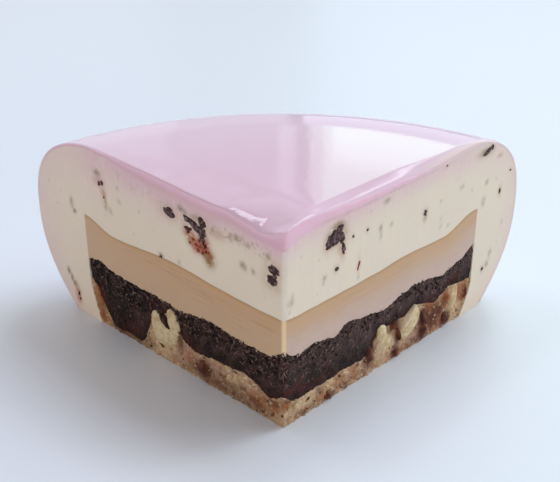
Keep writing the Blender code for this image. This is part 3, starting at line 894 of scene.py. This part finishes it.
def biscuit_spot(draw, turn):
    """On the biscuit's cut, as far out as it shows."""
    radius = draw.uniform(0.3, 68 if turn else 47)
    high = biscuit_height(radius * MM, turn) / MM - 0.2
    return radius, draw.uniform(0.5, max(high, 0.6))


def seam_spot(draw, turn):
    """Just over the crumb's top line, most often near the slice's point."""
    radius = draw.uniform(0, 1) ** 1.4 * 52
    return radius, crumb_height(radius * MM, turn) / MM + draw.uniform(-0.5, 0.7)


def scatter_grains(name, material, slot, seed, count, spot, sizes, longer=1):
    """Loose grains stuck to both cuts by turns."""
    draw = random.Random(seed)
    bm = bmesh.new()
    for number in range(count):
        side = LEFT if number % 2 else RIGHT
        radius, height = spot(draw, 0 if side == LEFT else 1)
        size = draw.uniform(*sizes)
        lump(bm, side * radius, height, size, size * longer * draw.uniform(0.6, 1.3),
             draw.uniform(-90, 90), size * 0.8, size * draw.uniform(0, 0.5) - GRAIN_SINK, 0.5, 2,
             draw.uniform(0, 50))
    return finish_piece(name, bm, material, slot)


class CAKE_OT_biscuit(bpy.types.Operator):
    """Bake the nut biscuit base, with grains and bran"""
    bl_idname = "cake.biscuit"
    bl_label = "Nut Biscuit"

    def execute(self, context):
        looks = context.scene.cake_looks
        piece = make_layer("nut_biscuit", layer_section(floor_line, biscuit_line), (300, 36, 28),
                           crumb_relief(looks.grain_size, 3.1, 0.5, 0.8), biscuit_material(looks),
                           "biscuit", "nut_base")
        for name, (code, rows) in BISCUIT_SPOTS.items():
            mark(piece.data, name, rows)
        pale = bit_material("biscuit_grain", looks.biscuit,
                            tinted(looks.biscuit, 0.6, 0.6, 0.6), 0.7)
        scatter_grains("biscuit_grains", pale, "biscuit", 23, 130, biscuit_spot, (0.2, 0.45))
        bran = bit_material("bran", looks.bran, tinted(looks.bran, 0.5, 0.5, 0.5), 0.6)
        scatter_grains("bran_flecks", bran, "biscuit", 29, 30, biscuit_spot, (0.2, 0.4), 1.5)
        return {'FINISHED'}


def set_rounds(name, rounds, apart, material, slot):
    """Sets uneven rounds in the cuts; apart keeps their shapes from being alike."""
    bm = bmesh.new()
    for number, row in enumerate(rounds):
        lump(bm, *row, number * apart)
    finish_piece(name, bm, material, slot)


# Nut kernels that show in the biscuit: place, height, half width, half height, tilt, stands
KERNELS = (
    (-39.7, 7.2, 4.1, 3.1, -10, 0.6), (-41.8, 8, 3, 4.7, -24, 0.75),
    (-36.8, 11.6, 1.9, 4, -20, 0.7), (34.4, 9.2, 1.9, 2.8, 22, 0.35), (36, 6, 2.6, 2.4, 10, 0.25),
    (45.6, 7.2, 2.7, 5, -53, 0.55), (64.2, 7.4, 1.9, 4.4, -6, 0.15),
)
# A painted highlight: a pale lump along the rim of a cut kernel
KERNEL_RIM_HIGHLIGHTS = (
    (44, 9.3, 0.75, 4.2, -52, 0.9),
)
# Roasted skins and toasted bits
SKINS = (
    (-26.3, 3.6, 2.4, 2.2, 0, 0.65), (29.8, 5.4, 1.2, 2.6, 8, 0.45),
    (38.8, 9.6, 1.8, 0.8, 15, 0.7), (40.6, 6.6, 0.4, 2.6, 22, 0.75), (51, 6.6, 0.9, 2.4, 20, 0.55),
    (51.6, 3, 1.3, 2.4, 10, 0.45), (60.8, 2.3, 1.6, 1.8, 10, 0.5), (69.4, 6.4, 0.6, 1.6, -10, 0.3),
    (39.8, 1.6, 0.9, 1.3, 10, 0.4), (15, 1.2, 1.2, 0.8, 20, 0.35),
)
# Dark lumps set in the gap between the split halves of the nut
GAPS = (
    (-39.6, 11.6, 0.75, 2.6, -42, 1.05), (-41, 13.6, 1.2, 1, 0, 0.9),
)


class CAKE_OT_nuts(bpy.types.Operator):
    """Set the nut kernels and roasted skins in the biscuit"""
    bl_idname = "cake.nuts"
    bl_label = "Nuts"

    def execute(self, context):
        looks = context.scene.cake_looks
        for name, rows, tone, other, gloss, slot in (
                ("nut_kernels", KERNELS, looks.nut, "#CBB083", 0.5, "biscuit"),
                # The pale kernel rim is a painted highlight
                ("nut_rim_highlight", KERNEL_RIM_HIGHLIGHTS, "#EAD8BC", "#D2B894", 0.5, "biscuit"),
                ("nut_skins", SKINS, looks.nut_skin, "#3A150B", 0.4, "biscuit"),
                ("nut_gap_dark_lumps", GAPS, looks.chocolate, "#1C0D0B", 0.5, "chocolate")):
            rounds = [(*row, NUT_DEPTH, stands - NUT_SINK, 0.15, 4) for *row, stands in rows]
            set_rounds(name, rounds, 3.3, bit_material(name, tone, other, gloss, 1.6), slot)
        return {'FINISHED'}


# Pieces of chocolate in the mousse: place, height, half width, half height, tilt
CHIPS = (
    (-35.8, 41.2, 2.3, 1.4, 10), (-27.3, 40.5, 3.3, 1.35, 22), (-29.6, 41.3, 1.6, 1, 10),
    (-24.8, 41.8, 1.8, 1.5, 20), (-25, 39.6, 1.6, 1.5, -20), (-24.7, 38.2, 0.9, 1, 0),
    (-2.9, 38.4, 2, 1.4, 10), (-3.5, 35.6, 2, 1.6, 15), (-2.8, 37, 0.8, 0.9, 0),
    (17.2, 42.7, 1.4, 1.3, 30), (15.5, 41.8, 2, 1.4, 35), (13.8, 40.3, 1.4, 1.3, 20),
    (15.9, 40.3, 1.7, 1.2, 15), (17.9, 40.6, 1.3, 1.8, 10), (18.6, 37.9, 0.7, 1.8, 15),
    (14.3, 41.6, 1.3, 1.1, 0), (73.4, 44.9, 2.4, 0.9, 22), (75.4, 45.5, 1, 0.8, 0),
    (48.3, 36.4, 0.85, 0.95, 0), (81.2, 31.9, 0.65, 1, -25), (16.5, 33.6, 0.65, 0.65, -10),
    (76.4, 10.9, 0.55, 0.75, -20), (26.6, 39.4, 0.4, 0.45, 0), (21.7, 39.6, 0.35, 0.4, 0),
    (-60.6, 40.9, 0.9, 0.7, 0), (-39.6, 28.6, 0.6, 0.5, 0),
)
# Orange-brown and dark red bits
TOFFEE = (
    (-28.9, 35.9, 0.5, 0.45, 0), (-27.8, 37.1, 0.5, 0.45, 0), (-26.9, 36, 0.6, 0.5, 0),
    (-26.3, 34.9, 0.65, 0.6, 0), (-25.8, 37.4, 0.55, 0.6, 0), (-24.8, 34.7, 0.6, 0.5, 0),
    (-60.2, 37.4, 0.3, 0.6, 0), (-22.9, 35.4, 0.4, 0.4, 0), (24, 31.6, 0.35, 1.4, -20),
    (-25.6, 35.9, 0.5, 0.4, 0),
)
BERRY = (
    (-29.4, 38.9, 1.6, 1.2, 0), (-61.9, 40.6, 0.65, 0.75, 0), (-23.9, 36.6, 0.5, 0.8, 12),
    (-24.4, 37.2, 0.5, 0.5, 0), (-23.7, 35.3, 0.45, 0.4, 0), (-75.3, 5, 0.5, 0.9, 10),
    (-75, 3.6, 0.4, 0.5, 0), (85.4, 36.6, 0.35, 0.35, 0), (55.8, 46.2, 0.5, 0.35, 0),
    (13.3, 39.6, 0.7, 0.6, 0), (18.6, 36.9, 0.4, 0.8, 28),
)


class CAKE_OT_bits(bpy.types.Operator):
    """Set chocolate, toffee and berry bits in the mousse's cuts"""
    bl_idname = "cake.bits"
    bl_label = "Bits in the Mousse"

    def execute(self, context):
        looks = context.scene.cake_looks
        for name, rows, tone, other, gloss, slot in (
                # The chips' second colour, a violet grey, is painted highlight blotched over the
                # dark chocolate
                ("chocolate_chips", CHIPS, "#3A1D18", "#8A7476", 0.45, "chocolate"),
                ("toffee_bits", TOFFEE, looks.toffee, "#6A2C14", 0.45, "caramel"),
                ("berry_bits", BERRY, looks.berry, "#2C1212", 0.4, "chocolate")):
            rounds = [(*row, BIT_DEPTH, BIT_STANDS, 0.3, 4) for row in rows]
            set_rounds(name, rounds, 2.7, bit_material(name, tone, other, gloss, 0.9, 0.45), slot)
        return {'FINISHED'}


# The camera stands where the photo was taken from: fitted to the slice's corners and layer lines
CAMERA_PLACE = Vector((-4.2 * MM, -170.6 * MM, 129.7 * MM)) + Vector((0, POINT_Y, 0))
CAMERA_PITCH = 26.10            # degrees down
CAMERA_YAW = 1.13               # degrees to the right
CAMERA_LENS = 61.58             # millimetres, on a sensor this wide:
SENSOR_WIDTH = 36

TABLE_GAP = 0.02 * MM           # keeps the table's face off the cake's underside
ROOM_LIGHT = 0.33

# Where the camera is as the glaze's top mirrors it
MIRRORED_CAMERA = Vector((CAMERA_PLACE.x, CAMERA_PLACE.y, 2 * CAKE_HEIGHT - CAMERA_PLACE.z))

# Windows and walls: name, azimuth, width, lowest and highest angle, distance, radiance, colour
WALLS = (
    ("window", 25.15, 44.3, 19.7, 37, 1.8, 1, "#E4FFF4"),
    ("window_head", 32, 58, 37, 49, 1.8, 0.8, "#DCE0FF"),
    ("window_pane", 25.55, 43.3, 19.7, 37, 1.78, 0.75, "#C0FFE6"),
    ("window_low_pane", 25.9, 42.8, 19.7, 22.8, 1.76, 0.7, "#E4FFF4"),
    ("window_sill", 25, 44.6, 4, 19.7, 1.8, 1, "#DEE4FF"),
    ("side_window", 72, 44, 7, 50, 1.6, 1.95, "#E3EFFA"),
    ("side_window_head", 66, 28, 38, 49, 1.3, 4.4, "#E3EFFA"),
    ("skylight", 36, 60, 48, 68, 1.2, 7.1, "#DAEAFF"),
    ("left_skylight", -45, 34, 58, 64.5, 1.4, 7.5, "#E6EEFF"),
    ("far_wall_high", -28, 60, 34, 58, 1.7, 0.75, "#EAEEFF"),
    ("far_wall", -19.5, 42.8, 1.5, 34, 1.9, 0.22, "#EAEEFF"),
    ("horizon", -20, 43, 1.5, 18.5, 1.95, 0.2, "#EAEEFF"),
    ("window_jamb", 1.6, 1.2, 18.5, 34, 1.8, 0.45, "#EAEEFF"),
    ("far_wall_left", -26, 40, 1.5, 34, 1.85, 0.22, "#EAEEFF"),
    ("front_wall", 180, 110, 2, 32, 1.5, 0.85, "#FFF4EA"),
    ("left_wall", -80, 80, 2, 26, 1.7, 0.58, "#FFF1E4"),
)


class CAKE_OT_stage(bpy.types.Operator):
    """Set the pale table, the soft light and the camera"""
    bl_idname = "cake.stage"
    bl_label = "Stage"

    def execute(self, context):
        looks = context.scene.cake_looks
        scene = context.scene
        bm = bmesh.new()
        bmesh.ops.create_grid(bm, x_segments=2, y_segments=2, size=3.0)
        bmesh.ops.translate(bm, verts=bm.verts, vec=(0, 0, -TABLE_GAP))
        mesh = bpy.data.meshes.new("pale_table")
        bm.to_mesh(mesh)
        bm.free()
        material, tree = new_material("painted_table")
        join(tree, tree.nodes["Principled BSDF"], Base_Color=looks.floor, Roughness=0.35, IOR=1.5)
        mesh.materials.append(material)
        table = bpy.data.objects.new("pale_table", mesh)
        scene.collection.objects.link(table)

        world = bpy.data.worlds.new("soft_room")
        world.use_nodes = True
        sky = world.node_tree.nodes["Background"]
        sky.inputs["Color"].default_value = paint("#F3F1F2")
        sky.inputs["Strength"].default_value = ROOM_LIGHT
        scene.world = world
        for row in WALLS:
            add_wall(*row)

        lens = bpy.data.cameras.new("camera")
        lens.lens = CAMERA_LENS
        lens.sensor_width = SENSOR_WIDTH
        lens.clip_start = 0.01
        camera = bpy.data.objects.new("camera", lens)
        camera.location = CAMERA_PLACE
        camera.rotation_euler = (radians(90 - CAMERA_PITCH), 0, radians(-CAMERA_YAW))
        scene.collection.objects.link(camera)
        scene.camera = camera
        scene.view_settings.view_transform = 'Standard'
        return {'FINISHED'}


def add_wall(name, azimuth, width, low, high, distance, radiance, code):
    """An upright soft light round the cake; its edges are in degrees as the glaze mirrors them."""
    across_view = Vector((sin(radians(azimuth)), cos(radians(azimuth)), 0))
    foot, head = (distance * tan(radians(angle)) for angle in (low, high))
    lamp = bpy.data.lights.new(name, 'AREA')
    lamp.shape = 'RECTANGLE'
    lamp.size = 2 * distance * tan(radians(width / 2))
    lamp.size_y = head - foot
    lamp.energy = pi * radiance * lamp.size * lamp.size_y
    lamp.color = paint(code)[:3]
    wall = bpy.data.objects.new(name, lamp)
    wall.location = MIRRORED_CAMERA + across_view * distance + Vector((0, 0, (foot + head) / 2))
    wall.rotation_euler = (radians(90), 0, radians(180 - azimuth))
    bpy.context.scene.collection.objects.link(wall)


class CAKE_PT_panel(bpy.types.Panel):
    """Lists the cake's pieces in the sidebar"""
    bl_label = "Mousse Cake"
    bl_idname = "CAKE_PT_panel"
    bl_space_type = 'VIEW_3D'
    bl_region_type = 'UI'
    bl_category = "Cake"

    def draw(self, context):
        for operator in OPERATORS:
            self.layout.operator(operator.bl_idname)
        for key in CakeLooks.__annotations__:
            self.layout.prop(context.scene.cake_looks, key)


OPERATORS = (CAKE_OT_stage, CAKE_OT_glaze, CAKE_OT_mousse, CAKE_OT_caramel, CAKE_OT_chocolate,
             CAKE_OT_biscuit, CAKE_OT_nuts, CAKE_OT_bits)


def register():
    for cls in (CakeLooks, *OPERATORS, CAKE_PT_panel):
        bpy.utils.register_class(cls)
    bpy.types.Scene.cake_looks = bpy.props.PointerProperty(type=CakeLooks)


def unregister():
    del bpy.types.Scene.cake_looks
    for cls in reversed((CakeLooks, *OPERATORS, CAKE_PT_panel)):
        bpy.utils.unregister_class(cls)


def main():
    register()
    bpy.ops.cake.stage()
    bpy.ops.cake.glaze()
    bpy.ops.cake.mousse()
    bpy.ops.cake.caramel()
    bpy.ops.cake.chocolate()
    bpy.ops.cake.biscuit()
    bpy.ops.cake.nuts()
    bpy.ops.cake.bits()


if __name__ == "__main__":
    main()
